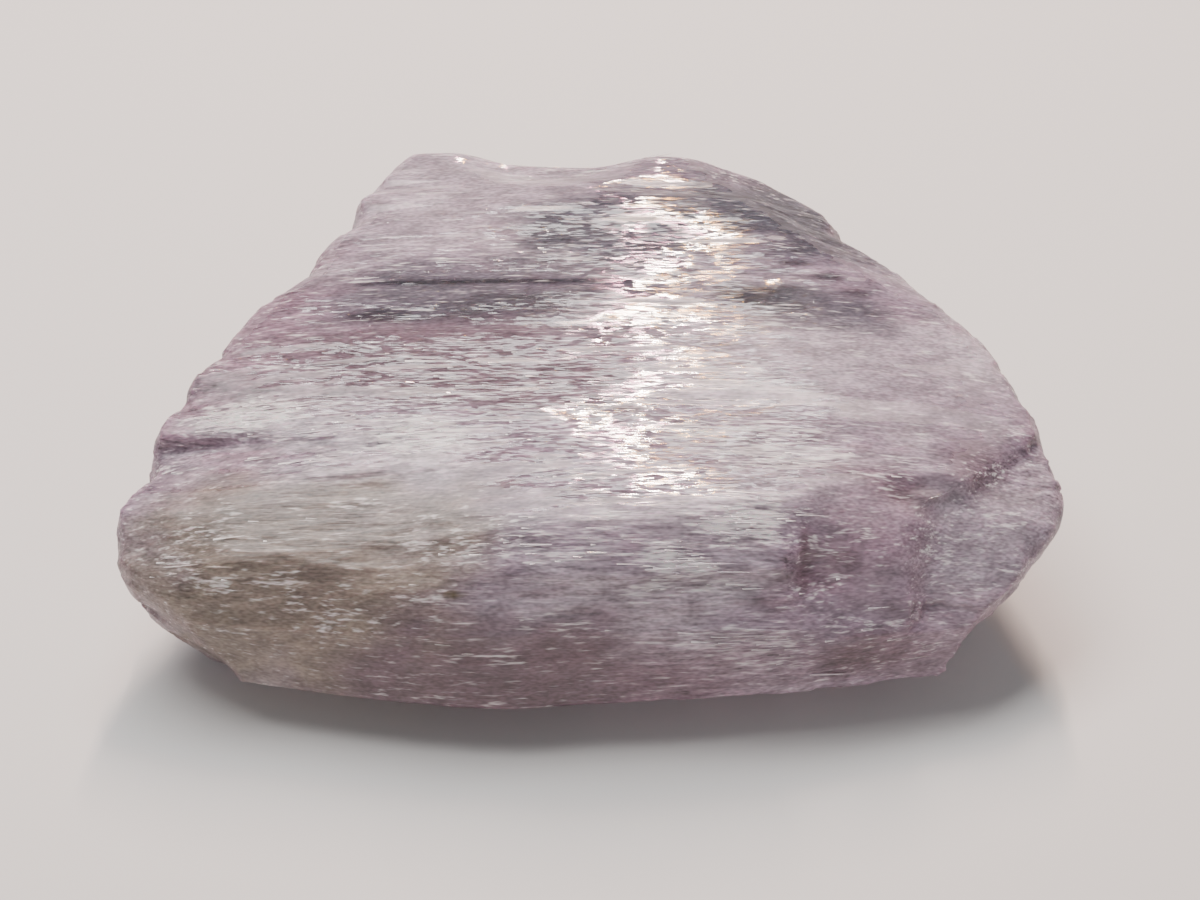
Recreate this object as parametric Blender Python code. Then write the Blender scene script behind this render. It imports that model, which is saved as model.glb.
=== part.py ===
# Rough kunzite crystal: one cleaved, striated fragment that lies on a flat cleavage face.
#
# X runs along the crystal's c axis, which its striations and laths follow. Y runs from the front
# to the back and Z up. The origin is under the middle of the crystal, on the face that it rests on.

import bisect
import math
import random

import bmesh
import bpy
from mathutils import Vector, noise

MM = 0.001

# Driving sizes in millimetres: the crystal is about 34 long, 24 deep and 10 high
BASE_FRONT, BASE_BACK = -7.2, 7.6
LIP_FRONT, LIP_HEIGHT = -11.7, 2.0
CREST_FRONT, CREST_HEIGHT = -8.6, 8.7
TOP_BACK, TOP_HEIGHT = 11.4, 9.75
BACK_EDGE = 12.6
BLANK_START, BLANK_END, STATION_STEP = -19.0, 18.5, 2.0

# How far the top drops at each end, and how sharply it curves down to there
END_X = 16.5
LEFT_DROP, LEFT_CURVE = 1.1, 2.6
RIGHT_DROP, RIGHT_CURVE = 1.7, 3.2
UNBENT_HEIGHT = 1.0

# The front bulges here, and draws in by these shares of its reach over these lengths either side
FRONT_BULGE_X = -4.0
LEFT_DRAW_IN, LEFT_SPAN = 0.20, 13.0
RIGHT_DRAW_IN, RIGHT_SPAN = 0.10, 15.0

# The cross-section seen along the crystal: each side's far corner (y, z), how many ridges run
# along it and how high the tallest of them stands. It starts at the front of the base.
SEED = 11
SECTION_START = (BASE_FRONT, 0.0)
SECTION_SIDES = (
    ((LIP_FRONT, LIP_HEIGHT), 5, 0.16),
    ((LIP_FRONT + 0.25, 4.9), 6, 0.22),
    ((-10.5, 7.3), 6, 0.2),
    ((CREST_FRONT, CREST_HEIGHT), 6, 0.16),
    ((-2.0, 9.35), 13, 0.14),
    ((6.0, TOP_HEIGHT + 0.1), 13, 0.14),
    ((TOP_BACK, TOP_HEIGHT - 0.15), 8, 0.12),
    ((BACK_EDGE, 7.6), 3, 0.25),
    ((11.4, 3.4), 6, 0.35),
    ((BASE_BACK, 0.0), 6, 0.25),
)
TOP_SIDES = SECTION_SIDES[3:7]
RIDGE_WIDTHS = (0.35, 1.0)
RIDGE_BACKS = (0.12, 0.5)  # the steep side's share of a ridge's width

# Ridges come and go along the crystal: how often, how much of it they cover and how abruptly
LATH_FADE, LATH_COVER, LATH_CONTRAST = 0.11, 0.6, 2.2

# Steps down towards the front on the left of the top: the line that each follows, from the left
# end to where it dies out, and how deep it is at the left end. They fade out down the front.
STEPS = (
    ((-16.3, -2.5), (-4.5, -3.3), 0.38),
    ((-16.1, -5.0), (-1.4, -5.4), 0.6),
)
STEP_FOOT, STEP_FULL = 3.0, 8.0

# Flat growth faces that slope the front left: a point on each, its normal, and where it dies out
SLOPES = (
    ((-12.0, -6.9, 7.75), (-0.08, -0.46, 0.88), -1.0),
    ((-12.0, -9.3, 6.4), (-0.1, -0.87, 0.48), -5.0),
)
SLOPE_FADE = 7.0

# Broad unevenness of every face, and the lump that hangs at the front of the lip
WAVE_HEIGHT, WAVE_ALONG, WAVE_ACROSS = 0.22, 0.12, 0.3
LUMP_X, LUMP_REACH, LUMP_HALF_LENGTH, LUMP_TOP = -3.4, 0.45, 2.6, 6.0

# The broken ends and the back in plan, as (x, y, side): each lath ends at a length of its own, so
# the outline climbs in short rounded steps. It passes well clear of the front, which stays whole.
LEFT, BACK, RIGHT, CLEAR = "left", "back", "right", "clear"
OUTLINE = (
    (-12.8, -15.0, CLEAR),
    (-14.6, -10.1, LEFT),
    (-15.6, -9.4, LEFT),
    (-16.5, -8.9, LEFT),
    (-17.1, -8.0, LEFT),
    (-17.3, -7.0, LEFT),
    (-17.25, -6.2, LEFT),
    (-16.8, -5.65, LEFT),
    (-16.2, -5.3, LEFT),
    (-16.25, -4.3, LEFT),
    (-16.1, -3.6, LEFT),
    (-15.6, -3.0, LEFT),
    (-15.1, -2.7, LEFT),
    (-15.2, -1.9, LEFT),
    (-14.85, -1.2, LEFT),
    (-14.25, -0.8, LEFT),
    (-14.25, 0.1, LEFT),
    (-13.7, 0.6, LEFT),
    (-13.45, 1.7, LEFT),
    (-12.8, 2.8, LEFT),
    (-11.9, 3.7, LEFT),
    (-11.3, 4.2, LEFT),
    (-11.2, 5.4, LEFT),
    (-10.6, 6.5, LEFT),
    (-9.8, 7.0, LEFT),
    (-9.75, 8.3, LEFT),
    (-9.1, 10.0, LEFT),
    (-8.3, 11.4, LEFT),
    (-7.4, 12.0, BACK),
    (-6.2, 12.1, BACK),
    (-4.6, 11.7, BACK),
    (-2.4, 11.1, BACK),
    (0.2, 11.3, BACK),
    (2.6, 11.4, BACK),
    (4.0, 11.4, BACK),
    (5.2, 11.0, BACK),
    (6.8, 10.5, BACK),
    (8.2, 9.8, BACK),
    (9.2, 9.3, RIGHT),
    (9.7, 8.4, RIGHT),
    (9.5, 7.2, RIGHT),
    (10.5, 6.5, RIGHT),
    (11.4, 5.7, RIGHT),
    (11.9, 4.5, RIGHT),
    (12.8, 3.1, RIGHT),
    (13.7, 2.0, RIGHT),
    (14.6, 0.6, RIGHT),
    (15.3, -1.3, RIGHT),
    (15.9, -2.9, RIGHT),
    (16.3, -4.1, RIGHT),
    (16.6, -5.2, RIGHT),
    (16.6, -6.3, RIGHT),
    (16.2, -7.2, RIGHT),
    (15.5, -7.8, RIGHT),
    (15.4, -8.7, RIGHT),
    (14.8, -9.4, RIGHT),
    (13.9, -10.1, RIGHT),
    (12.6, -15.0, CLEAR),
)

# How far each side stands in from that outline at each height, so that the walls lean and bulge
WALL_HEIGHTS = (-1.0, 1.2, 3.2, 5.2, 7.0, 8.6, 11.5)
WALL_INSETS = {
    LEFT: (4.2, 2.5, 0.85, 0.1, 0.0, 0.35, 1.1),
    BACK: (3.6, 2.4, 1.3, 0.55, 0.1, 0.0, 0.4),
    RIGHT: (5.6, 3.1, 1.2, 0.2, 0.0, 0.45, 1.6),
    CLEAR: (0.0, 0.0, 0.0, 0.0, 0.0, 0.0, 0.0),
}
WALL_ROUGHNESS = 0.16

# The lath ends at the left step towards the front further down, by this much for each mm
LEFT_LEAN, LEFT_LEAN_TOP = 0.11, 8.0

# Each break: the corners of the floor that it left, and the way that the missing piece went
UP = (0.0, 0.0, 1.0)
FRONT_UP = (0.0, -0.8, 0.6)
RIGHT_UP = (0.3, -0.6, 0.74)
BREAK_REACH = 9.0
BREAK_STRAY = 0.06
BREAKS = {
    "back_right_bevel": (
        ((1.4, 13.2, 9.65), (11.8, 1.6, 9.1), (16.8, 6.1, 6.5), (6.4, 17.7, 7.05)),
        UP,
    ),
    "right_facet": (
        ((6.5, -8.9, 7.9), (8.9, -6.2, 8.85), (11.8, -7.2, 7.7), (11.5, -9.7, 6.3), (6.55, -9.9, 7.0)),
        FRONT_UP,
    ),
    "right_facet_front": (
        ((6.6, -9.45, 7.2), (11.6, -9.1, 6.6), (11.2, -10.75, 3.7), (6.9, -11.1, 4.7)),
        FRONT_UP,
    ),
}

# The lower terrace at the right, whose laths broke off along one slanting line: the back and the
# front corner (x, y, z) of the end of each
TERRACE_LATHS = (
    ((15.4, -3.7, 7.35), (13.95, -5.2, 7.2)),
    ((14.1, -5.0, 7.3), (12.75, -6.45, 7.05)),
    ((12.85, -6.3, 7.3), (11.15, -7.6, 6.95)),
    ((11.25, -7.4, 6.9), (10.9, -8.65, 6.2)),
    ((10.95, -8.45, 6.1), (10.8, -9.6, 5.1)),
    ((10.85, -9.4, 4.9), (11.1, -11.5, 3.0)),
)
TERRACE_END, TERRACE_SLOPE = 19.0, 0.2

# Single laths that have come away from the top, and the range of their sizes. A hollow's corners
# are its shares of the length, the width and the depth: it is deepest at its left back corner.
LATH_HOLLOWS = 16
HOLLOW_LENGTHS, HOLLOW_WIDTHS, HOLLOW_DEPTHS = (3.0, 8.0), (0.5, 1.2), (0.1, 0.22)
HOLLOW_X, HOLLOW_Y = (-11.0, 9.0), (-7.0, 9.5)
HOLLOW_CORNERS = ((-0.5, -0.5, 0.6), (0.5, -0.4, 0.1), (0.5, 0.4, 0.3), (-0.5, 0.5, 1.0))


def interpolated(value, places, amounts):
    """The amount at value, on straight lines between the given places."""
    i = min(max(bisect.bisect_right(places, value), 1), len(places) - 1)
    share = (value - places[i - 1]) / (places[i] - places[i - 1])
    return amounts[i - 1] + (amounts[i] - amounts[i - 1]) * limited(share)


def limited(share):
    return min(max(share, 0.0), 1.0)


def section_points(rng):
    """The cross-section's points: (y, z, outward y, outward z, ridge height). Ridges are steps of
    uneven width with a steep side and a flat one, as growth leaves them on spodumene."""
    points = []
    start = Vector(SECTION_START)
    for corner, ridge_count, tallest in SECTION_SIDES:
        end = Vector(corner)
        along = end - start
        outward = Vector((-along.y, along.x)).normalized()
        widths = [rng.uniform(*RIDGE_WIDTHS) ** 1.5 for _ in range(ridge_count)]
        done = 0.0
        for width in widths:
            share = width / sum(widths)
            height = tallest * rng.random() ** 1.4
            for place, lift in ((done, 0.0), (done + share * rng.uniform(*RIDGE_BACKS), height)):
                foot = start + along * place
                points.append((foot.x, foot.y, outward.x, outward.y, lift))
            done += share
        start = end
    points.append((*start, 0.0, -1.0, 0.0))
    return points


def step_depth(x, y, left, right, depth):
    """How far one of the steps lowers the top at a place."""
    share = max((right[0] - x) / (right[0] - left[0]), 0.0)
    line_y = right[1] + (left[1] - right[1]) * share
    return depth * share if y < line_y else 0.0


def bent(x, y, z):
    """Where a point of the straight prism lies on the real crystal, which is lower towards its ends,
    bulges at the front and steps down and slopes at the front left."""
    along = abs(x) / END_X
    drop = LEFT_DROP * along**LEFT_CURVE if x < 0.0 else RIGHT_DROP * along**RIGHT_CURVE
    height = z - drop * max(z - UNBENT_HEIGHT, 0.0) / (TOP_HEIGHT - UNBENT_HEIGHT)
    place = Vector((x, y, height))
    if y < 0.0:
        steps = sum(step_depth(x, y, *step) for step in STEPS)
        place.z -= steps * limited((z - STEP_FOOT) / (STEP_FULL - STEP_FOOT))
        draw_in, span = (LEFT_DRAW_IN, LEFT_SPAN) if x < FRONT_BULGE_X else (RIGHT_DRAW_IN, RIGHT_SPAN)
        place.y *= 1.0 - draw_in * ((x - FRONT_BULGE_X) / span) ** 2
        lump = LUMP_REACH * math.exp(-(((x - LUMP_X) / LUMP_HALF_LENGTH) ** 2))
        place.y -= lump * limited(1.0 - z / LUMP_TOP)
    for point, normal, end_x in SLOPES:
        facing = Vector(normal).normalized()
        above = (place - Vector(point)).dot(facing)
        if above > 0.0 and z > LIP_HEIGHT:
            place -= facing * above * limited((end_x - x) / SLOPE_FADE)
    return place


def wave(place):
    """The broad unevenness at a place: longer along the crystal than across it."""
    scaled = Vector((place.x * WAVE_ALONG, place.y * WAVE_ACROSS, place.z * WAVE_ACROSS))
    return WAVE_HEIGHT * noise.noise(scaled + Vector((4.0, 9.0, 2.0)))


def top_height(x, y):
    """How high the top stands at a place, without its ridges."""
    level = interpolated(y, [side[0][0] for side in TOP_SIDES], [side[0][1] for side in TOP_SIDES])
    place = bent(x, y, level)
    return place.z + wave(place)


def as_object(name, mesh, cutter=False):
    """A scene object made from a bmesh, with its faces pointing out."""
    bmesh.ops.recalc_face_normals(mesh, faces=mesh.faces)
    data = bpy.data.meshes.new(name)
    mesh.to_mesh(data)
    mesh.free()
    made = bpy.data.objects.new(name, data)
    bpy.context.scene.collection.objects.link(made)
    if cutter:
        made.hide_render = True
        made.display_type = "WIRE"
    return made


def lofted(rings):
    """A closed bmesh through rings of points, which all have the same count. Points are in mm."""
    mesh = bmesh.new()
    loops = [[mesh.verts.new(point * MM) for point in ring] for ring in rings]
    for loop, following in zip(loops, loops[1:]):
        for i in range(len(loop)):
            j = (i + 1) % len(loop)
            mesh.faces.new((loop[i], loop[j], following[j], following[i]))
    mesh.faces.new(loops[0])
    mesh.faces.new(loops[-1])
    return mesh


def striated_prism():
    """The whole crystal before its ends broke: ridges run its length and fade in and out. Nothing
    reaches below the flat face that it rests on."""
    section = section_points(random.Random(SEED))
    count = 1 + round((BLANK_END - BLANK_START) / STATION_STEP)
    rings = []
    for station in range(count):
        x = BLANK_START + (BLANK_END - BLANK_START) * station / (count - 1)
        ring = []
        for i, (y, z, outward_y, outward_z, height) in enumerate(section):
            place = bent(x, y, z)
            cover = LATH_COVER + LATH_CONTRAST * noise.noise(Vector((x * LATH_FADE, i * 3.7, 1.3)))
            lift = height * limited(cover)
            if z > 0.0:
                lift += wave(place)
            place += Vector((0.0, outward_y, outward_z)) * lift
            place.z = max(place.z, 0.0)
            ring.append(place)
        rings.append(ring)
    return as_object("kunzite_crystal", lofted(rings))


def broken_ends():
    """The envelope that the ends and the back broke to: rings of the outline at each height."""
    rng = random.Random(SEED + 1)
    rings = []
    for height in WALL_HEIGHTS:
        ring = []
        for x, y, side in OUTLINE:
            place = Vector((x, y))
            place -= place.normalized() * interpolated(height, WALL_HEIGHTS, WALL_INSETS[side])
            if side == LEFT:
                place.y -= LEFT_LEAN * (LEFT_LEAN_TOP - height)
            if side != CLEAR:
                place += Vector((rng.uniform(-1, 1), rng.uniform(-1, 1))) * WALL_ROUGHNESS
            ring.append(Vector((place.x, place.y, height)))
        rings.append(ring)
    mesh = lofted(rings)
    bmesh.ops.triangulate(mesh, faces=mesh.faces)
    return as_object("broken_ends", mesh, cutter=True)


def break_cutter(name, floor, went):
    """A convex block that stands on the floor of a break and reaches the way the piece went. Each
    corner strays a little, so that no two breaks share a plane."""
    rng = random.Random(name)
    mesh = bmesh.new()
    for corner in floor:
        foot = Vector(corner) + Vector([rng.uniform(-1, 1) for _ in range(3)]) * BREAK_STRAY
        mesh.verts.new(foot * MM)
        mesh.verts.new((foot + Vector(went).normalized() * BREAK_REACH) * MM)
    bmesh.ops.convex_hull(mesh, input=mesh.verts)
    return as_object(name, mesh, cutter=True)


def terrace_laths():
    """Cutters for the laths that are missing above the terrace at the right."""
    cutters = []
    for i, ends in enumerate(TERRACE_LATHS):
        floor = list(ends)
        for x, y, z in ends:
            floor.append((TERRACE_END, y, z - TERRACE_SLOPE * (TERRACE_END - x)))
        cutters.append(break_cutter(f"terrace_lath_{i + 1}", floor, RIGHT_UP))
    return cutters


def lath_hollows():
    """Cutters for the single laths that have come away: long thin wedges that lie along X."""
    rng = random.Random(SEED + 2)
    cutters = []
    for i in range(LATH_HOLLOWS):
        length = rng.uniform(*HOLLOW_LENGTHS)
        width = rng.uniform(*HOLLOW_WIDTHS)
        depth = rng.uniform(*HOLLOW_DEPTHS)
        middle_x = rng.uniform(*HOLLOW_X)
        middle_y = rng.uniform(*HOLLOW_Y)
        floor = []
        for along, across, down in HOLLOW_CORNERS:
            x = middle_x + along * length
            y = middle_y + across * width
            floor.append((x, y, top_height(x, y) - depth * down))
        cutters.append(break_cutter(f"lath_hollow_{i + 1}", floor, UP))
    return cutters


def cut(body, other, operation="DIFFERENCE"):
    modifier = body.modifiers.new(other.name, "BOOLEAN")
    modifier.operation = operation
    modifier.object = other


def settle(body):
    """Applies the cuts and puts the origin under the middle of the crystal, on its base."""
    bpy.context.view_layer.update()
    graph = bpy.context.evaluated_depsgraph_get()
    finished = bpy.data.meshes.new_from_object(body.evaluated_get(graph))
    body.modifiers.clear()
    body.data = finished
    lows = [min(v.co[axis] for v in finished.vertices) for axis in range(3)]
    highs = [max(v.co[axis] for v in finished.vertices) for axis in range(3)]
    shift = Vector((-(lows[0] + highs[0]) / 2, -(lows[1] + highs[1]) / 2, -lows[2]))
    for vertex in finished.vertices:
        vertex.co += shift
    print("moved by", [round(s / MM, 3) for s in shift], "mm;", len(finished.polygons), "faces")


def kunzite_material():
    material = bpy.data.materials.new("kunzite")
    material.use_nodes = True
    shader = material.node_tree.nodes["Principled BSDF"]
    shader.inputs["Base Color"].default_value = (0.46, 0.37, 0.41, 1.0)
    shader.inputs["Roughness"].default_value = 0.3
    shader.inputs["Metallic"].default_value = 0.0
    shader.inputs["Transmission Weight"].default_value = 0.5
    shader.inputs["IOR"].default_value = 1.66
    return material


def main():
    for old in list(bpy.data.objects):
        bpy.data.objects.remove(old)
    crystal = striated_prism()
    cut(crystal, broken_ends(), "INTERSECT")
    for name, (floor, went) in BREAKS.items():
        cut(crystal, break_cutter(name, floor, went))
    for missing in terrace_laths() + lath_hollows():
        cut(crystal, missing)
    settle(crystal)
    crystal.data.materials.clear()
    crystal.data.materials.append(kunzite_material())


main()
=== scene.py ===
# Rough kunzite crystal: the fine surface, the clouded lilac stone and the light it is seen in.
# Lengths in the dictionaries are in millimetres unless their names say otherwise.
import math

import bmesh
import bpy
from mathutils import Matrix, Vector


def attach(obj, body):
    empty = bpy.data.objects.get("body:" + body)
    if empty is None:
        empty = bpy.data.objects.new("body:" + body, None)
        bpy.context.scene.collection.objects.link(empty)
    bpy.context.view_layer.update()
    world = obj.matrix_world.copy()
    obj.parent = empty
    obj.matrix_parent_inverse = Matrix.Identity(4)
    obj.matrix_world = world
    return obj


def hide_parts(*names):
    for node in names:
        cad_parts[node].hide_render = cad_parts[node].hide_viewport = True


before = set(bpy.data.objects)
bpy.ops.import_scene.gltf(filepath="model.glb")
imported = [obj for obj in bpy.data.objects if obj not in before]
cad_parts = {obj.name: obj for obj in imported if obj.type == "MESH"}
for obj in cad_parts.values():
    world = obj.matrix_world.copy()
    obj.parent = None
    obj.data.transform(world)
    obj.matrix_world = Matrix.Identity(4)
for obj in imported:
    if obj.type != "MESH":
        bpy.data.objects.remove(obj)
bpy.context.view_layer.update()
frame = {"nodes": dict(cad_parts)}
mm = 0.001
cadCentre = Vector((0.326, 0.016, 0.0))  # how far the solid was shifted to put its base in the middle
print("frame loaded:", ", ".join(frame["nodes"]))


# small helpers for node trees
def newNode(tree, kind, **settings):
    node = tree.nodes.new(kind)
    for key, value in settings.items():
        setattr(node, key, value)
    return node


def feed(tree, socket, value):
    # a socket takes another node's output, or a plain value
    if isinstance(value, bpy.types.NodeSocket):
        tree.links.new(value, socket)
    elif value is not None:
        socket.default_value = value


def ofKind(sockets, kind, name=None):
    # the socket of a kind, where a node has one under the same name for each kind
    return [s for s in sockets if s.type == kind and name in (None, s.name)][0]


def sums(tree, operation, first, second=None, third=None):
    node = newNode(tree, "ShaderNodeMath", operation=operation)
    for socket, value in zip(node.inputs, (first, second, third)):
        feed(tree, socket, value)
    return node.outputs[0]


def vectorSums(tree, operation, first, second=None):
    node = newNode(tree, "ShaderNodeVectorMath", operation=operation)
    feed(tree, node.inputs[0], first)
    if operation == "SCALE":
        feed(tree, node.inputs["Scale"], second)
    elif second is not None:
        feed(tree, node.inputs[1], second)
    return node.outputs["Value"] if operation in ("LENGTH", "DOT_PRODUCT") else node.outputs[0]


def stretched(tree, place, scale):
    return vectorSums(tree, "MULTIPLY", place, scale)


def ramp(tree, value, low, high, atLow=0.0, atHigh=1.0, smooth=True):
    node = newNode(tree, "ShaderNodeMapRange", interpolation_type="SMOOTHSTEP" if smooth else "LINEAR")
    for socket, given in zip(node.inputs, (value, low, high, atLow, atHigh)):
        feed(tree, socket, given)
    return node.outputs[0]


def noiseNode(tree, vector, layers, roughness=0.5, distortion=0.0, scale=1.0):
    node = newNode(tree, "ShaderNodeTexNoise")
    feed(tree, node.inputs["Vector"], vector)
    feed(tree, node.inputs["Scale"], scale)
    feed(tree, node.inputs["Detail"], layers)
    feed(tree, node.inputs["Roughness"], roughness)
    feed(tree, node.inputs["Distortion"], distortion)
    return node


# Noises in the stone: changes per mm along the crystal and across it, finer layers, their roughness
noises = {
    "gathering": (0.35, 0.9, 3.0, 0.6),
    "calm": (0.13, 0.32, 3.0, 0.5),
    "drift": (0.16, 0.3, 3.0, 0.55),
    "haze": (0.3, 0.55, 4.0, 0.6),
    "mottle": (0.8, 1.7, 3.0, 0.62),
    "swells": (0.045, 0.42, 2.0, 0.5),
    "streaks": (0.8, 7.5, 2.0, 0.7),
    "grain": (5.0, 13.0, 0.0, 0.5),
    "fine relief": (0.5, 9.0, 1.0, 0.6),
    "pearl": (1.2, 4.0, 2.0, 0.5),
}


def noiseOf(tree, place, name, distortion=0.0):
    along, across, layers, roughness = noises[name]
    there = stretched(tree, place, (along, across, across))
    return noiseNode(tree, there, layers, roughness, distortion).outputs["Fac"]


def parts(tree, vector):
    # a vector's x, y and z
    node = newNode(tree, "ShaderNodeSeparateXYZ")
    feed(tree, node.inputs[0], vector)
    return node.outputs


def joined(tree, x=0.0, y=0.0, z=0.0):
    node = newNode(tree, "ShaderNodeCombineXYZ")
    for socket, value in zip(node.inputs, (x, y, z)):
        feed(tree, socket, value)
    return node.outputs[0]


def endOf(tree, normal, low, high, atLow=0.0, atHigh=1.0):
    # how far a face looks along X, as the broken ends do
    return ramp(tree, sums(tree, "ABSOLUTE", parts(tree, normal)[0]), low, high, atLow, atHigh)


# How the borders of places wander: changes per mm along and across, and how far, as a share of the reach
wanders = {
    "gathering": (0.45, 1.1, 1.6),
    "calm": (0.2, 0.4, 1.2),
    "zones": (0.3, 0.6, 1.3),
    "plates": (0.35, 0.9, 1.1),
}
wanderLayers = 3.0
straight = (0.0, 0.0, 0.0)  # no wandering
nearness = (0.45, 1.25)  # a place counts in full up to this share of its reach, and not past the other


def wanderingOf(tree, place, name):
    along, across, amount = wanders[name]
    there = stretched(tree, place, (along, across, across))
    drift = noiseNode(tree, there, wanderLayers).outputs["Color"]
    return vectorSums(tree, "SCALE", vectorSums(tree, "SUBTRACT", drift, (0.5, 0.5, 0.5)), amount)


def closeness(tree, place, middle, reach, wandering, strength):
    # the strength near a place of the crystal, falling to 0 over its reach along an uneven line
    away = vectorSums(tree, "SUBTRACT", place, tuple(Vector(middle) + cadCentre))
    away = vectorSums(tree, "DIVIDE", away, reach)
    distance = vectorSums(tree, "LENGTH", vectorSums(tree, "ADD", away, wandering))
    return ramp(tree, distance, *nearness, strength, 0.0)


def nearAny(tree, place, places, wandering, atLeast=0.0):
    # the closeness to whichever of the places counts most
    near = atLeast
    for middle, reach, strength in places.values():
        near = sums(tree, "MAXIMUM", near, closeness(tree, place, middle, reach, wandering, strength))
    return near


def lessenedAt(tree, value, place, places, wandering):
    # the value, taken down at each of the places by its strength
    for middle, reach, strength in places.values():
        near = closeness(tree, place, middle, reach, wandering, strength)
        value = sums(tree, "MULTIPLY", value, sums(tree, "SUBTRACT", 1.0, near))
    return value


# The next dictionaries name places on the crystal: each one's middle, how far it reaches each way
# and how strongly it counts. At these the surface is calm.
calmPlaces = {
    "back left cloud": ((-6.0, 8.4, 9.5), (6.5, 4.4, 6.0), 1.0),
    "right shoulder": ((11.0, -1.6, 8.8), (6.5, 4.6, 5.0), 1.0),
    "right facet": ((9.4, -8.6, 7.0), (3.4, 3.0, 3.0), 1.0),
    "front middle": ((-2.4, -11.6, 3.6), (4.6, 2.4, 2.2), 1.0),
    "front left": ((-9.5, -11.0, 4.2), (6.5, 2.6, 3.0), 1.0),
    "back shadow": ((-4.2, 1.9, 9.5), (7.6, 2.8, 3.0), 1.0),
    "right shade": ((7.4, 1.8, 9.4), (3.0, 1.6, 3.0), 1.0),
    "terrace": ((13.4, -8.2, 6.6), (3.4, 3.0, 2.4), 1.0),
}
# Edges that are worn soft
softPlaces = {
    "hook": ((12.4, -7.0, 7.4), (3.8, 3.4, 2.6), 1.0),
    "top": ((0.0, -1.0, 9.6), (15.0, 12.0, 2.6), 0.25),
}
# Shallow hollows, which count by their depth
hollows = {
    "back edge": ((-1.9, 11.0, 9.6), (3.4, 2.0, 2.6), 0.4),
    "under the hook": ((11.7, -7.3, 8.2), (1.9, 0.8, 1.4), 0.35),
    "facet corner": ((8.0, -9.8, 7.0), (1.1, 1.2, 1.2), 0.25),
}
# Where white streaks and flecks gather
gatherings = {
    "tongue": ((-12.9, -3.8, 8.8), (3.0, 0.9, 1.2), 1.0),
    "main clump": ((-6.4, -5.1, 9.0), (2.2, 1.0, 1.2), 1.0),
    "belt": ((-6.0, -4.4, 9.0), (10.0, 2.2, 2.5), 0.26),
    "upper flecks": ((-5.0, -1.6, 9.3), (6.0, 1.0, 1.5), 0.18),
    "back flecks": ((-4.0, 5.0, 9.6), (5.0, 1.4, 1.5), 0.2),
    "right belt": ((5.4, -5.6, 8.9), (3.6, 1.6, 1.5), 0.6),
    "beside the facet": ((4.6, -9.0, 7.9), (2.2, 0.9, 1.2), 0.8),
    "left front": ((-14.6, -8.6, 6.8), (2.4, 1.4, 1.6), 0.25),
    "upper front": ((-3.0, -9.6, 7.6), (4.5, 0.8, 1.2), 0.35),
    # partly real flecks and streaks, partly painted glints where the lamps' reflections fall warm on the
    # front brim
    "warm glints and flecks": ((2.7, -10.2, 7.2), (1.6, 0.7, 0.9), 0.9),
    "lower front right": ((5.0, -11.2, 4.2), (3.0, 1.2, 1.4), 0.5),
    "terrace": ((13.2, -8.6, 6.4), (2.8, 2.2, 1.8), 0.2),
}
# Where there are few of them
barePlaces = {
    "back shadow": ((-4.0, 1.6, 9.5), (8.0, 2.4, 3.0), 0.8),
    "back window": ((1.0, 6.2, 9.7), (4.8, 2.8, 3.0), 0.6),
    "back right": ((8.0, 5.0, 9.0), (5.4, 4.6, 4.0), 0.6),
}
gathering = {
    "noise": (0.48, 0.72),  # between these a patch of streaks grows to its most
    "most in a patch": 0.5,
    "height": (2.0, 6.5),
    "share low down": 0.35,
}
calm = {
    "noise": (0.34, 0.58),  # between these the surface grows from its calmest to its liveliest
    "calmest by itself": 0.5,
}


def gatheringOf(tree, place):
    # how thickly the white streaks lie: in patches all over, more at the named places, fewer low down
    wandering = wanderingOf(tree, place, "gathering")
    patches = noiseOf(tree, place, "gathering")
    gathered = ramp(tree, patches, *gathering["noise"], 0.0, gathering["most in a patch"])
    gathered = nearAny(tree, place, gatherings, wandering, gathered)
    gathered = lessenedAt(tree, gathered, place, barePlaces, wandering)
    height = ramp(tree, parts(tree, place)[2], *gathering["height"], gathering["share low down"], 1.0)
    return sums(tree, "MULTIPLY", gathered, height)


def livelinessOf(tree, place, least):
    # 1 where the striations are strongest, and least where the surface is calm
    wandering = wanderingOf(tree, place, "calm")
    patches = noiseOf(tree, place, "calm")
    lively = ramp(tree, patches, *calm["noise"], calm["calmest by itself"])
    lively = lessenedAt(tree, lively, place, calmPlaces, wandering)
    return ramp(tree, lively, 0.0, 1.0, least, 1.0, smooth=False)


# Colours of the stone's clouds and zones as seen, in sRGB
paints = {
    "lilac grey": (150, 132, 149),
    "pale": (188, 175, 186),
    # Painted shade: the next two colours stand in for darkness seen through the clearer stone and for
    # shade inside it
    "shade grey": (75, 76, 87),
    "near-black shade": (38, 36, 45),
    "mauve": (154, 125, 142),
    "dusky mauve": (121, 101, 113),
    "deep mauve": (112, 87, 97),
    "warm brown": (145, 131, 117),
    "dusky brown": (120, 107, 97),
    "white": (248, 243, 243),
    "moss": (96, 84, 48),
}
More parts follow.
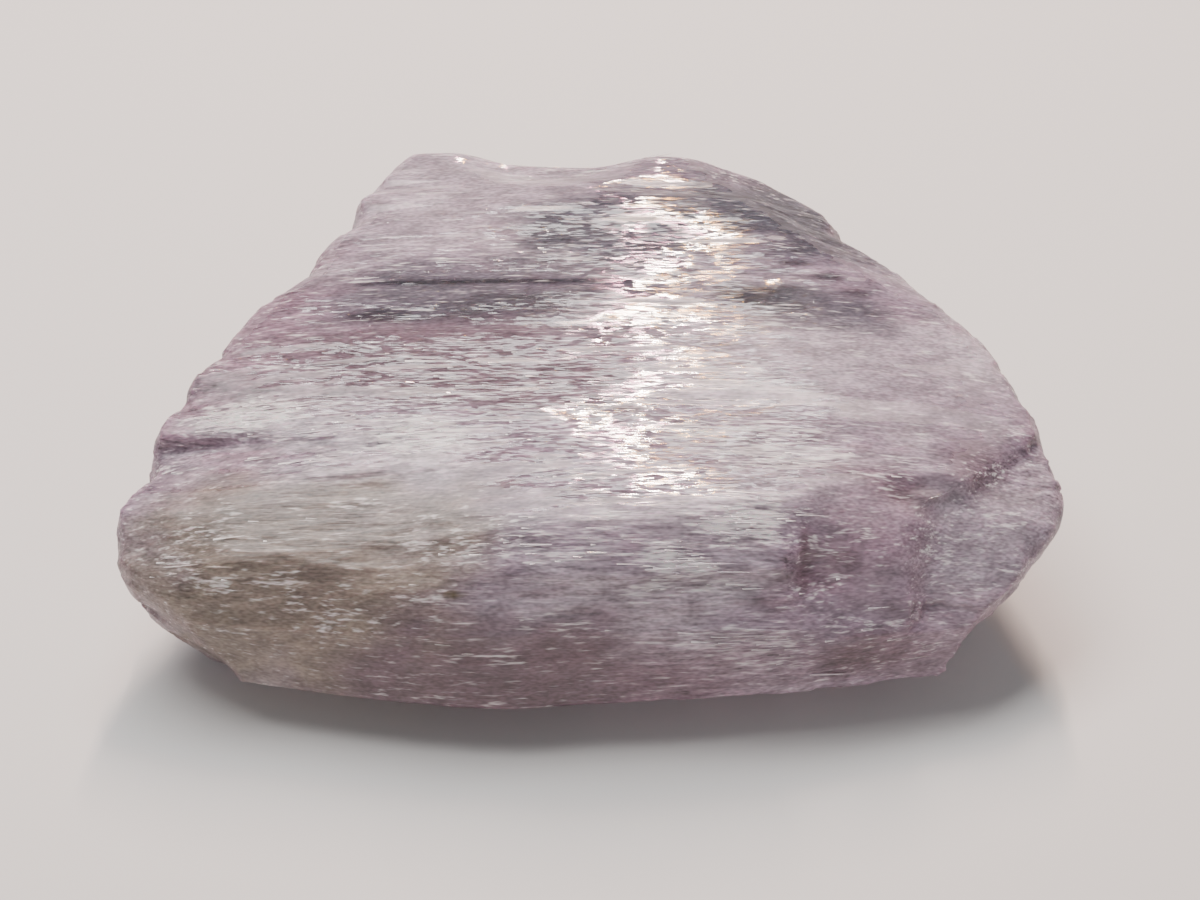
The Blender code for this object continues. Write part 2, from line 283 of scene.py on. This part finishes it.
# Each zone: its middle, how far it reaches each way, its paint and how strong it is
zones = {
    "back left cloud": ((-5.6, 8.8, 9.5), (6.2, 4.2, 5.0), "pale", 0.7),
    # partly the stone's mauve, partly painted light: the pink of light shining through the thin rim
    "left rim": ((-13.8, 1.0, 7.5), (4.6, 7.0, 6.0), "mauve", 0.75),
    # The next eleven zones are painted shade: grey and near-black standing in for darkness seen through
    # the clearer stone and for shade inside it
    "back shadow": ((-3.6, 1.8, 9.4), (7.8, 2.8, 3.0), "shade grey", 0.75),
    # painted shadow along the groove at the back
    "shadow in the back groove": ((-4.2, 2.8, 9.5), (6.8, 0.2, 1.0), "near-black shade", 0.85),
    "left dark shade": ((-8.1, 1.0, 9.4), (1.5, 0.5, 1.0), "near-black shade", 0.8),
    "middle dark shade": ((-3.6, 1.3, 9.5), (3.4, 0.9, 1.0), "near-black shade", 0.5),
    "back window": ((1.0, 6.2, 9.7), (4.8, 2.9, 3.0), "shade grey", 0.9),
    "right dark shade": ((6.1, 2.1, 9.5), (2.2, 0.9, 1.0), "near-black shade", 0.9),
    "right shade": ((8.2, 1.2, 9.3), (3.2, 1.6, 2.0), "shade grey", 0.75),
    # painted shade on the bevel at the back right, which slopes away from the light
    "back right": ((7.4, 7.4, 8.6), (5.4, 3.8, 4.0), "shade grey", 0.95),
    # a thin dark line of painted shade along the edge of the bevel at the back right
    "dark line's near end": ((7.4, 4.0, 9.6), (0.9, 0.26, 0.8), "near-black shade", 0.7),
    "dark line's middle": ((8.5, 3.2, 9.5), (0.9, 0.26, 0.8), "near-black shade", 0.7),
    "dark line's far end": ((9.6, 2.4, 9.4), (0.9, 0.26, 0.8), "near-black shade", 0.7),
    "right shoulder": ((10.0, -2.2, 9.0), (6.0, 3.0, 4.0), "pale", 0.5),
    "right of the middle": ((6.4, -1.8, 9.3), (4.0, 2.4, 3.0), "pale", 0.85),
    "left band": ((-6.4, -1.4, 9.2), (9.5, 2.5, 3.0), "dusky mauve", 0.95),
    "middle": ((-2.6, -3.0, 9.2), (3.8, 1.5, 2.5), "dusky mauve", 0.8),
    "fleck belt": ((-6.0, -4.9, 9.0), (8.5, 1.3, 3.0), "lilac grey", 0.5),
    "left tongue": ((-12.9, -3.7, 8.8), (2.8, 0.8, 1.2), "pale", 0.8),
    "left recess": ((-13.9, -5.2, 8.2), (2.6, 0.7, 1.0), "mauve", 0.6),
    "front left": ((-11.0, -9.6, 5.0), (8.5, 4.2, 5.4), "warm brown", 0.95),
    "left brim": ((-10.2, -8.5, 7.9), (6.4, 2.1, 2.4), "dusky brown", 0.75),
    "front middle": ((-2.6, -11.6, 2.8), (7.5, 2.6, 3.2), "deep mauve", 0.95),
    "front right": ((4.4, -11.0, 3.0), (5.0, 2.4, 2.6), "mauve", 0.5),
    "right facet": ((9.2, -8.6, 7.0), (3.0, 2.8, 3.0), "mauve", 0.6),
    # painted shadow beside the small wall at the facet's left edge, which faces away from the light
    "facet corner": ((7.8, -10.0, 6.9), (1.4, 1.2, 1.2), "deep mauve", 0.6),
    "shade along the facet edge": ((7.0, -9.9, 7.0), (0.26, 1.4, 1.5), "deep mauve", 0.8),
    # painted shadow below the overhanging lip of the hook on the right, and on the ledge behind it
    "shadow under the hook": ((11.6, -7.3, 8.1), (1.9, 0.7, 1.2), "deep mauve", 0.8),
    "shadow behind the hook": ((13.4, -6.2, 7.8), (1.4, 1.7, 1.6), "dusky mauve", 0.85),
    "terrace": ((13.6, -8.4, 6.4), (3.2, 2.6, 2.6), "pale", 0.5),
    # painted shade in the shallow notch low on the front right
    "notch": ((9.2, -10.6, 3.5), (2.3, 1.8, 1.2), "deep mauve", 0.95),
    "right front": ((12.5, -10.5, 3.0), (3.6, 2.5, 2.4), "mauve", 0.5),
    "moss speck": ((-5.0, -10.9, 6.3), (0.5, 0.6, 0.16), "moss", 0.9),
}
clouds = {
    "pale noise": (0.38, 0.66),  # between these the ground colour turns from lilac grey to pale
    "haze noise": (0.52, 0.72),
    "haze": 0.7,
    "haze distortion": 0.4,
    # end slope and pinker ends: the broken ends made pinker, partly the stone's tone and partly painted
    # light shining through the thin ends
    "end slope": (0.3, 0.8),
    "pinker ends": 0.45,
    "mottle noise": (0.3, 0.7),
    "mottle": (0.72, 1.25),  # its darkest and its lightest
}


def linear(colour):
    # an sRGB colour of 0 to 255 as linear light
    values = [(c / 255.0 / 12.92) if c <= 10 else ((c / 255.0 + 0.055) / 1.055) ** 2.4 for c in colour]
    return (*values, 1.0)


def mixed(tree, share, first, second):
    node = newNode(tree, "ShaderNodeMix", data_type="RGBA")
    feed(tree, node.inputs["Factor"], share)
    feed(tree, ofKind(node.inputs, "RGBA", "A"), first)
    feed(tree, ofKind(node.inputs, "RGBA", "B"), second)
    return ofKind(node.outputs, "RGBA")


def cloudColour(tree, place, normal):
    # the stone's slow changes of colour: soft clouds a little longer along the crystal, then the zones,
    # many of them painted shade and shadow, and broken ends made pinker, partly with painted light
    pale = ramp(tree, noiseOf(tree, place, "drift"), *clouds["pale noise"])
    colour = mixed(tree, pale, linear(paints["lilac grey"]), linear(paints["pale"]))
    haze = noiseOf(tree, place, "haze", clouds["haze distortion"])
    haze = ramp(tree, haze, *clouds["haze noise"], 0.0, clouds["haze"])
    colour = mixed(tree, haze, colour, linear(paints["mauve"]))
    wandering = wanderingOf(tree, place, "zones")
    for middle, reach, paint, strength in zones.values():
        share = closeness(tree, place, middle, reach, wandering, strength)
        colour = mixed(tree, share, colour, linear(paints[paint]))
    # partly painted light: the pink of light shining through the thin broken ends
    end = endOf(tree, normal, *clouds["end slope"], 0.0, clouds["pinker ends"])
    colour = mixed(tree, end, colour, linear(paints["mauve"]))
    mottle = ramp(tree, noiseOf(tree, place, "mottle"), *clouds["mottle noise"], *clouds["mottle"])
    return vectorSums(tree, "SCALE", colour, mottle)


# the crystal's own surface
body = {
    "grain stretch": 3.0,  # the skin's cells are this many times longer along the laths than across them
    "cell": 0.108,
    "rounding": 9,  # how many times the whole skin is softened, and by how much each time
    "softening": 0.5,
    "merging metres": 1e-7,
}
surface = {
    "Striation height": 0.035,
    "Striation spacing": 0.3,
    "Plate height": 0.07,
    "Plate width": 0.8,
    "Plate length": 3.2,
    "End rounding": 60,  # how many times the soft places and the broken ends are softened
    "Lump height": 0.42,
    "Lump size": 1.9,
    "Splintering": 1.6,  # how many times further the plates stand out on the broken ends
    "Unevenness": 0.28,
    "Grain evenness": 14,
    "Base guard": 0.8,  # the relief fades below this height, so that the base stays flat
    "Seed": 4.0,
}
relief = {
    "end slope": (0.3, 0.7),
    "end softness": 0.35,
    "least liveliness": 0.15,
    "least liveliness to the eye": 0.3,
    "striation stretch": 0.12,  # changes per mm along a striation
    "striation layers": (3.0, 0.6),  # finer layers of the noise and their roughness
    "striation noise": (0.3, 0.7),
    "plate steepness": 2.0,  # more than 1 leaves most plates low and a few high
    "plate mean": 0.35,
    "lump stretch": (0.7, 1.0, 1.0),
    "lump layers": (3.0, 0.45),
    "base": 0.05,  # there is no relief below this height
    "upward slope": (0.966, 0.99),  # between these a face turns from satin to glittering
}


def meshOfNode(name):
    # a merged copy of the solid's loose triangles
    copied = bmesh.new()
    copied.from_mesh(frame["nodes"][name].data)
    bmesh.ops.remove_doubles(copied, verts=copied.verts, dist=body["merging metres"])
    mesh = bpy.data.meshes.new(name + "_copy")
    copied.to_mesh(mesh)
    copied.free()
    return mesh


def applied(thing):
    # works the thing's modifiers into its mesh
    bpy.context.view_layer.update()
    graph = bpy.context.evaluated_depsgraph_get()
    finished = bpy.data.meshes.new_from_object(thing.evaluated_get(graph))
    thing.modifiers.clear()
    thing.data = finished


def stretchAlong(mesh, factor):
    for vertex in mesh.vertices:
        vertex.co.x *= factor


def fineBlank():
    # the solid again as an even skin of small cells that are long in the direction of the laths
    mesh = meshOfNode("kunzite_crystal")
    stretchAlong(mesh, 1.0 / body["grain stretch"])
    blank = bpy.data.objects.new("kunzite", mesh)
    bpy.context.scene.collection.objects.link(blank)
    remesh = blank.modifiers.new("skin", "REMESH")
    remesh.mode = "VOXEL"
    remesh.voxel_size = body["cell"] * mm
    remesh.use_smooth_shade = True
    soften = blank.modifiers.new("soften", "SMOOTH")
    soften.factor = body["softening"]
    soften.iterations = body["rounding"]
    applied(blank)
    stretchAlong(blank.data, body["grain stretch"])
    return blank


def newTree(name, values):
    # a Geometry Nodes tree with a geometry input, an input for each value and a geometry output
    tree = bpy.data.node_groups.new(name, "GeometryNodeTree")
    tree.interface.new_socket("Geometry", in_out="INPUT", socket_type="NodeSocketGeometry")
    for label, value in values.items():
        kind = "NodeSocketInt" if isinstance(value, int) else "NodeSocketFloat"
        tree.interface.new_socket(label, in_out="INPUT", socket_type=kind).default_value = value
    tree.interface.new_socket("Geometry", in_out="OUTPUT", socket_type="NodeSocketGeometry")
    return tree, newNode(tree, "NodeGroupInput").outputs


def closeTree(tree, geometry, material):
    real = newNode(tree, "GeometryNodeRealizeInstances")
    feed(tree, real.inputs[0], geometry)
    painted = newNode(tree, "GeometryNodeSetMaterial")
    feed(tree, painted.inputs["Geometry"], real.outputs[0])
    painted.inputs["Material"].default_value = material
    feed(tree, newNode(tree, "NodeGroupOutput").inputs[0], painted.outputs[0])
    return tree


def noteOn(tree, geometry, name, kind, value):
    # keeps a value with each point of the mesh, for the material to read
    node = newNode(tree, "GeometryNodeStoreNamedAttribute", data_type=kind, domain="POINT")
    feed(tree, node.inputs["Geometry"], geometry)
    node.inputs["Name"].default_value = name
    feed(tree, node.inputs["Value"], value)
    return node.outputs[0]


def position(tree):
    return newNode(tree, "GeometryNodeInputPosition").outputs[0]


def placeInMm(tree):
    return vectorSums(tree, "SCALE", position(tree), 1.0 / mm)


def blurred(tree, value, times, weight=None):
    # the value of each point, evened out with its neighbours'
    node = newNode(tree, "GeometryNodeBlurAttribute", data_type="FLOAT_VECTOR")
    feed(tree, ofKind(node.inputs, "VECTOR"), value)
    feed(tree, node.inputs["Iterations"], times)
    feed(tree, node.inputs["Weight"], weight)
    return ofKind(node.outputs, "VECTOR")


def aboutZero(tree, value, middle=0.5):
    return sums(tree, "SUBTRACT", value, middle)


def striationsOf(tree, given, place):
    # fine grooves along X
    perStriation = sums(tree, "DIVIDE", 1.0, given["Striation spacing"])
    across = joined(tree, relief["striation stretch"], perStriation, perStriation)
    grooves = noiseNode(tree, stretched(tree, place, across), *relief["striation layers"]).outputs["Fac"]
    grooves = aboutZero(tree, ramp(tree, grooves, *relief["striation noise"]))
    return sums(tree, "MULTIPLY", grooves, given["Striation height"])


def platesOf(tree, given, place):
    # overlapping laths, each on its own level
    perPlate = sums(tree, "DIVIDE", 1.0, given["Plate width"])
    plateScale = joined(tree, sums(tree, "DIVIDE", 1.0, given["Plate length"]), perPlate, perPlate)
    there = vectorSums(tree, "ADD", stretched(tree, place, plateScale), wanderingOf(tree, place, "plates"))
    plates = newNode(tree, "ShaderNodeTexVoronoi", distance="CHEBYCHEV")
    feed(tree, plates.inputs["Vector"], there)
    feed(tree, plates.inputs["Scale"], 1.0)
    level = sums(tree, "POWER", parts(tree, plates.outputs["Color"])[0], relief["plate steepness"])
    return sums(tree, "MULTIPLY", aboutZero(tree, level, relief["plate mean"]), given["Plate height"])


def lumpsOf(tree, given, place):
    perLump = sums(tree, "DIVIDE", 1.0, given["Lump size"])
    there = stretched(tree, place, relief["lump stretch"])
    lumps = noiseNode(tree, there, *relief["lump layers"], scale=perLump).outputs["Fac"]
    return sums(tree, "MULTIPLY", aboutZero(tree, lumps), given["Lump height"])


def liftOf(tree, given, place, end, worn):
    # how far each point is lifted or lowered, in mm
    seeded = vectorSums(tree, "ADD", place, joined(tree, given["Seed"]))
    plates = platesOf(tree, given, seeded)
    along = sums(tree, "ADD", striationsOf(tree, given, seeded), plates)
    along = sums(tree, "MULTIPLY", along, sums(tree, "SUBTRACT", 1.0, end))
    along = sums(tree, "MULTIPLY", along, livelinessOf(tree, place, relief["least liveliness"]))
    # on the broken ends the plates stand out further, as the ends of splinters
    rough = sums(tree, "MULTIPLY", end, sums(tree, "SUBTRACT", 1.0, worn))
    splinters = sums(tree, "MULTIPLY", plates, given["Splintering"])
    lumpy = sums(tree, "ADD", lumpsOf(tree, given, seeded), splinters)
    lift = sums(tree, "MULTIPLY_ADD", lumpy, rough, along)
    swells = aboutZero(tree, noiseOf(tree, seeded, "swells"))
    lift = sums(tree, "ADD", lift, sums(tree, "MULTIPLY", swells, given["Unevenness"]))
    for middle, reach, deep in hollows.values():
        lift = sums(tree, "SUBTRACT", lift, closeness(tree, place, middle, reach, straight, deep))
    guard = ramp(tree, parts(tree, place)[2], relief["base"], given["Base guard"])
    return sums(tree, "MULTIPLY", lift, guard)


def surfaceTree(material):
    # lifts and lowers the skin: striations and overlapping plates along X, rounded lumps on the ends
    tree, given = newTree("crystal surface", surface)
    place = placeInMm(tree)
    normal = newNode(tree, "GeometryNodeInputNormal").outputs[0]
    end = endOf(tree, normal, *relief["end slope"])
    worn = nearAny(tree, place, softPlaces, straight)
    softness = sums(tree, "MAXIMUM", worn, sums(tree, "MULTIPLY", end, relief["end softness"]))
    rounded = newNode(tree, "GeometryNodeSetPosition")
    feed(tree, rounded.inputs["Geometry"], given["Geometry"])
    feed(tree, rounded.inputs["Position"], blurred(tree, position(tree), given["End rounding"], softness))

    # the place of each point on the even surface, so that the fine grain runs on over the steps
    even = blurred(tree, place, given["Grain evenness"])
    grained = noteOn(tree, rounded.outputs[0], "grain", "FLOAT_VECTOR", even)

    lift = liftOf(tree, given, place, end, worn)
    moved = newNode(tree, "GeometryNodeSetPosition")
    feed(tree, moved.inputs["Geometry"], grained)
    feed(tree, moved.inputs["Offset"], vectorSums(tree, "SCALE", normal, sums(tree, "MULTIPLY", lift, mm)))

    lively = livelinessOf(tree, place, relief["least liveliness to the eye"])
    upward = ramp(tree, parts(tree, normal)[2], *relief["upward slope"])
    noted = noteOn(tree, moved.outputs[0], "cloud", "FLOAT_COLOR", cloudColour(tree, place, normal))
    noted = noteOn(tree, noted, "lively", "FLOAT", lively)
    noted = noteOn(tree, noted, "gather", "FLOAT", gatheringOf(tree, place))
    noted = noteOn(tree, noted, "upward", "FLOAT", upward)
    return closeTree(tree, noted, material)


# the thin cleavage flecks that catch the light
flecks = {
    "Per square mm": 24.0,
    "Shortest": 0.2,
    "Longest": 1.5,
    "Narrowest": 0.03,
    "Widest": 0.11,
    "Thickness": 0.03,
    "Roll": 0.4,  # radians, about the crystal's length
    "Sway": 0.06,  # radians, the other two ways
    "Base guard": 0.6,  # there are fewer below this height
    "Seed": 7,
}
scattering = {
    "side slope": (0.3, 0.6),
    "clumping": 1.6,  # more than 1 thins the flecks out between the thick patches
    "least liveliness": 0.1,
    "base": 0.2,
    "long ones": 3.0,  # the higher, the fewer
}
# One splinter, a cone with both ends cut, for a length and a width of 1
splinterCone = {"Vertices": 5, "Radius Top": 0.1, "Radius Bottom": 0.5, "Depth": 1.0}


def randomOf(tree, low, high, seed, number):
    node = newNode(tree, "FunctionNodeRandomValue", data_type="FLOAT")
    feed(tree, ofKind(node.inputs, "VALUE", "Min"), low)
    feed(tree, ofKind(node.inputs, "VALUE", "Max"), high)
    feed(tree, node.inputs["Seed"], sums(tree, "ADD", seed, float(number)))
    return ofKind(node.outputs, "VALUE")


def scatteredPoints(tree, given):
    # points over the sides, in patches
    place = placeInMm(tree)
    normal = newNode(tree, "GeometryNodeInputNormal").outputs[0]
    side = endOf(tree, normal, *scattering["side slope"], 1.0, 0.0)
    patches = sums(tree, "POWER", gatheringOf(tree, place), scattering["clumping"])
    lively = livelinessOf(tree, place, scattering["least liveliness"])
    share = sums(tree, "MULTIPLY", sums(tree, "MULTIPLY", patches, side), lively)
    height = ramp(tree, parts(tree, place)[2], scattering["base"], given["Base guard"])
    share = sums(tree, "MULTIPLY", share, height)
    density = sums(tree, "MULTIPLY", sums(tree, "MULTIPLY", share, given["Per square mm"]), 1.0 / mm**2)
    scatter = newNode(tree, "GeometryNodeDistributePointsOnFaces", distribute_method="RANDOM")
    feed(tree, scatter.inputs["Mesh"], given["Geometry"])
    feed(tree, scatter.inputs["Density"], density)
    feed(tree, scatter.inputs["Seed"], given["Seed"])
    return scatter.outputs["Points"], scatter.outputs["Normal"]


def lyingAlong(tree, given, normal):
    # a turn that lays a fleck along X in the surface, and a little askew
    lying = newNode(tree, "FunctionNodeAxesToRotation", primary_axis="Z", secondary_axis="X")
    feed(tree, lying.inputs[0], normal)
    feed(tree, lying.inputs[1], (1.0, 0.0, 0.0))
    roll = sums(tree, "MULTIPLY", randomOf(tree, -1.0, 1.0, given["Seed"], 1), given["Roll"])
    pitch = sums(tree, "MULTIPLY", randomOf(tree, -1.0, 1.0, given["Seed"], 2), given["Sway"])
    yaw = sums(tree, "MULTIPLY", randomOf(tree, -1.0, 1.0, given["Seed"], 3), given["Sway"])
    turn = newNode(tree, "FunctionNodeEulerToRotation")
    feed(tree, turn.inputs[0], joined(tree, roll, pitch, yaw))
    turned = newNode(tree, "FunctionNodeRotateRotation", rotation_space="LOCAL")
    feed(tree, turned.inputs[0], lying.outputs[0])
    feed(tree, turned.inputs[1], turn.outputs[0])
    return turned.outputs[0]


def splinterShape(tree):
    splinter = newNode(tree, "GeometryNodeMeshCone", fill_type="NGON")
    for name, value in splinterCone.items():
        splinter.inputs[name].default_value = value
    along = newNode(tree, "GeometryNodeTransform")
    feed(tree, along.inputs["Geometry"], splinter.outputs["Mesh"])
    along.inputs["Rotation"].default_value = (0.0, math.radians(90), 0.0)
    return along.outputs[0]


def flecksTree(material):
    # scatters slivers over the sides, each of its own length and width
    tree, given = newTree("cleavage flecks", flecks)
    points, normal = scatteredPoints(tree, given)
    stretch = sums(tree, "POWER", randomOf(tree, 0.0, 1.0, given["Seed"], 4), scattering["long ones"])
    length = ramp(tree, stretch, 0.0, 1.0, given["Shortest"], given["Longest"], smooth=False)
    width = randomOf(tree, given["Narrowest"], given["Widest"], given["Seed"], 5)
    placed = newNode(tree, "GeometryNodeInstanceOnPoints")
    feed(tree, placed.inputs["Points"], points)
    feed(tree, placed.inputs["Instance"], splinterShape(tree))
    feed(tree, placed.inputs["Rotation"], lyingAlong(tree, given, normal))
    size = vectorSums(tree, "SCALE", joined(tree, length, width, given["Thickness"]), mm)
    feed(tree, placed.inputs["Scale"], size)
    return closeTree(tree, placed.outputs[0], material)


def addTree(thing, tree, values):
    modifier = thing.modifiers.new(tree.name, "NODES")
    modifier.node_group = tree
    for item in tree.interface.items_tree:
        if item.item_type == "SOCKET" and item.in_out == "INPUT" and item.name in values:
            modifier[item.identifier] = values[item.name]


# the stone
stone = {
    "ior": 1.66,
    "transmission": 0.3,
    "absorption colour": (0.88, 0.64, 0.80, 1.0),
    "absorption per metre": 130.0,
    "milk depth": 0.6,
    "milk colour": (1.0, 0.72, 0.84),  # how far each colour of light reaches in the milk, as a share
    "roughness": (0.11, 0.06),  # of the glittering faces, in the dark streaks and in the light ones
    "satin roughness": 0.42,
    "all glitter at": 0.8,  # of the way from a satin face to an upward one
    "streak noise": (0.35, 0.65),
    "streak depth": 2.2,
    "grain noise": (0.25, 0.75),
    "grain": (0.8, 1.2),  # its darkest and its lightest
    "darkest": 0.3,
    "white share": 0.27,  # how much more of the streaks is white where they gather
    "white noise": (0.58, 0.8),
    "whitest": 0.85,
    "glint cell": (0.4, 0.062),  # the tiny facets that glint: their length and their width
    "glint tilt": (0.006, 0.32),  # how steep they are, along the crystal and across it
    "glints off the top": 0.15,
    "fine relief": 0.016,
}
pearl = {
    "shade noise": (0.35, 0.65),
    "whiteness": (0.15, 0.75),
    "gloss noise": (0.3, 0.7),
    "roughness": (0.1, 0.3),
    "tint": (1.0, 0.93, 0.88, 1.0),
}


def newMaterial(name):
    material = bpy.data.materials.new(name)
    material.use_nodes = True
    return material, material.node_tree, material.node_tree.nodes["Principled BSDF"]


def readNote(tree, name, output="Fac"):
    # what the surface tree kept with each point
    return newNode(tree, "ShaderNodeAttribute", attribute_name=name).outputs[output]


def glints(tree, place):
    # the height of tiny facets that each tilt their own way, steep across the crystal alone
    length, width = stone["glint cell"]
    x, y, z = parts(tree, place)
    across = sums(tree, "DIVIDE", sums(tree, "ADD", y, z), width)
    inCells = joined(tree, sums(tree, "DIVIDE", x, length), across)
    cells = newNode(tree, "ShaderNodeTexVoronoi", voronoi_dimensions="2D")
    feed(tree, cells.inputs["Vector"], inCells)
    feed(tree, cells.inputs["Scale"], 1.0)
    fromMiddle = vectorSums(tree, "SUBTRACT", inCells, cells.outputs["Position"])
    tilts = vectorSums(tree, "SUBTRACT", cells.outputs["Color"], (0.5, 0.5, 0.5))
    tiltAlong, tiltAcross = stone["glint tilt"]
    tilts = stretched(tree, tilts, (2 * tiltAlong * length, 2 * tiltAcross * width, 0.0))
    return vectorSums(tree, "DOT_PRODUCT", fromMiddle, tilts)


def streakedColour(tree, place, streaks, lively):
    # the clouds with short fine streaks along the laths, light and dark, where the surface is lively
    grain = ramp(tree, noiseOf(tree, place, "grain"), *stone["grain noise"], *stone["grain"])
    depth = sums(tree, "MULTIPLY", aboutZero(tree, streaks), lively)
    shade = sums(tree, "MULTIPLY_ADD", depth, stone["streak depth"], grain)
    shade = sums(tree, "MAXIMUM", shade, stone["darkest"])
    colour = vectorSums(tree, "SCALE", readNote(tree, "cloud", "Color"), shade)
    white = sums(tree, "MULTIPLY_ADD", readNote(tree, "gather"), stone["white share"], streaks)
    white = ramp(tree, white, *stone["white noise"], 0.0, stone["whitest"])
    return mixed(tree, white, colour, linear(paints["white"]))


def kunziteMaterial():
    material, tree, shader = newMaterial("kunzite")
    place = readNote(tree, "grain", "Vector")
    lively = readNote(tree, "lively")
    upward = readNote(tree, "upward")
    streaks = noiseOf(tree, place, "streaks")
    feed(tree, shader.inputs["Base Color"], streakedColour(tree, place, streaks, lively))
    gloss = ramp(tree, streaks, *stone["streak noise"], *stone["roughness"])
    roughness = ramp(tree, upward, 0.0, stone["all glitter at"], stone["satin roughness"], gloss)
    feed(tree, shader.inputs["Roughness"], roughness)

    # facets and striations too fine for the mesh
    fine = sums(tree, "MULTIPLY", noiseOf(tree, place, "fine relief"), stone["fine relief"])
    fine = sums(tree, "MULTIPLY", fine, lively)
    sparkle = ramp(tree, upward, 0.0, 1.0, stone["glints off the top"], 1.0)
    sparkle = sums(tree, "MULTIPLY", sparkle, lively)
    bump = newNode(tree, "ShaderNodeBump")
    bump.inputs["Distance"].default_value = mm
    feed(tree, bump.inputs["Height"], sums(tree, "MULTIPLY_ADD", glints(tree, place), sparkle, fine))
    feed(tree, shader.inputs["Normal"], bump.outputs[0])

    shader.inputs["IOR"].default_value = stone["ior"]
    shader.inputs["Transmission Weight"].default_value = stone["transmission"]
    shader.inputs["Subsurface Weight"].default_value = 1.0
    shader.inputs["Subsurface Radius"].default_value = stone["milk colour"]
    shader.inputs["Subsurface Scale"].default_value = stone["milk depth"] * mm
    inside = newNode(tree, "ShaderNodeVolumeAbsorption")
    inside.inputs["Color"].default_value = stone["absorption colour"]
    inside.inputs["Density"].default_value = stone["absorption per metre"]
    tree.links.new(inside.outputs[0], tree.nodes["Material Output"].inputs["Volume"])
    return material


def pearlMaterial():
    # the flecks: the stone's own colour, made whiter
    material, tree, shader = newMaterial("pearl")
    place = vectorSums(tree, "SCALE", newNode(tree, "ShaderNodeTexCoord").outputs["Object"], 1.0 / mm)
    shade = noiseOf(tree, place, "pearl")
    whiteness = ramp(tree, shade, *pearl["shade noise"], *pearl["whiteness"])
    colour = mixed(tree, whiteness, readNote(tree, "cloud", "Color"), linear(paints["white"]))
    feed(tree, shader.inputs["Base Color"], colour)
    feed(tree, shader.inputs["Roughness"], ramp(tree, shade, *pearl["gloss noise"], *pearl["roughness"]))
    shader.inputs["IOR"].default_value = stone["ior"]
    shader.inputs["Specular Tint"].default_value = pearl["tint"]
    return material


def finishPiece(thing):
    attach(thing, "root")


def makeCrystal():
    crystal = fineBlank()
    addTree(crystal, surfaceTree(kunziteMaterial()), surface)
    applied(crystal)
    crystal.data.shade_smooth()
    finishPiece(crystal)
    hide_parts("kunzite_crystal")
    print("crystal surface:", len(crystal.data.polygons), "faces")
    return crystal


def makeFlecks(crystal):
    slivers = bpy.data.objects.new("cleavage_flecks", crystal.data.copy())
    bpy.context.scene.collection.objects.link(slivers)
    addTree(slivers, flecksTree(pearlMaterial()), flecks)
    applied(slivers)
    slivers.data.shade_flat()
    finishPiece(slivers)
    print("flecks:", len(slivers.data.polygons), "faces")


makeFlecks(makeCrystal())


# the room: a pale floor and soft light
room = {
    "floor width": 1800,
    "floor colour": (0.62, 0.61, 0.60, 1.0),
    "floor roughness": 0.8,
    "sky colour": (0.86, 0.88, 0.9, 1.0),
    "sky strength": 0.32,
}
lamps = {
    # name: (where, aimed at, width and depth, watts, colour)
    "overhead": ((-28, 34, 158), (0, 0, 5), (150, 80), 0.41, (1.0, 0.97, 0.96)),
    "front fill": ((40, -190, 90), (0, 0, 5), (160, 110), 0.06, (1.0, 0.97, 0.95)),
    "glint": ((8.5, 122, 160), (2.5, 0, 9), (2.2, 80), 0.34, (1.0, 0.88, 0.76)),
    "warm glint": ((12.0, 122, 160), (2.5, 0, 9), (1.5, 110), 0.12, (1.0, 0.42, 0.08)),
    "rosy glint": ((5.0, 122, 160), (2.5, 0, 9), (1.5, 110), 0.09, (1.0, 0.36, 0.5)),
}
view = {
    "elevation": 40.0,
    "field": 24.0,  # degrees, across the picture
    "pixels per mm": 27.0,
    "target": (0.0, -1.5, 5.0),
    "picture width": 1200,  # pixels
    "sensor width": 36.0,
    "nearest": 2,
    "farthest": 5000,
}


def floor():
    mesh = bpy.data.meshes.new("floor")
    half = room["floor width"] / 2 * mm
    corners = [(-half, -half, 0), (half, -half, 0), (half, half, 0), (-half, half, 0)]
    mesh.from_pydata(corners, [], [(0, 1, 2, 3)])
    ground = bpy.data.objects.new("floor", mesh)
    bpy.context.scene.collection.objects.link(ground)
    paint, _, shader = newMaterial("floor")
    shader.inputs["Base Color"].default_value = room["floor colour"]
    shader.inputs["Roughness"].default_value = room["floor roughness"]
    mesh.materials.append(paint)


def light():
    for name, (where, target, size, watts, colour) in lamps.items():
        lamp = bpy.data.lights.new(name, "AREA")
        lamp.shape = "RECTANGLE"
        lamp.size = size[0] * mm
        lamp.size_y = size[1] * mm
        lamp.energy = watts
        lamp.color = colour
        holder = bpy.data.objects.new(name, lamp)
        holder.location = Vector(where) * mm
        aim = Vector(target) - Vector(where)
        holder.rotation_euler = aim.to_track_quat("-Z", "Y").to_euler()
        bpy.context.scene.collection.objects.link(holder)
    world = bpy.data.worlds.new("studio")
    world.use_nodes = True
    sky = world.node_tree.nodes["Background"]
    sky.inputs["Color"].default_value = room["sky colour"]
    sky.inputs["Strength"].default_value = room["sky strength"]
    bpy.context.scene.world = world


def camera():
    half = math.radians(view["field"] / 2)
    away = view["picture width"] / 2 / math.tan(half) / view["pixels per mm"]
    lens = bpy.data.cameras.new("camera")
    lens.sensor_width = view["sensor width"]
    lens.lens = lens.sensor_width / 2 / math.tan(half)
    lens.clip_start = view["nearest"] * mm
    lens.clip_end = view["farthest"] * mm
    holder = bpy.data.objects.new("camera", lens)
    tilt = math.radians(view["elevation"])
    looking = Vector((0.0, math.cos(tilt), -math.sin(tilt)))
    holder.location = (Vector(view["target"]) + cadCentre - looking * away) * mm
    holder.rotation_euler = looking.to_track_quat("-Z", "Y").to_euler()
    bpy.context.scene.collection.objects.link(holder)
    bpy.context.scene.camera = holder


floor()
light()
camera()
print("room, lamps and camera placed")
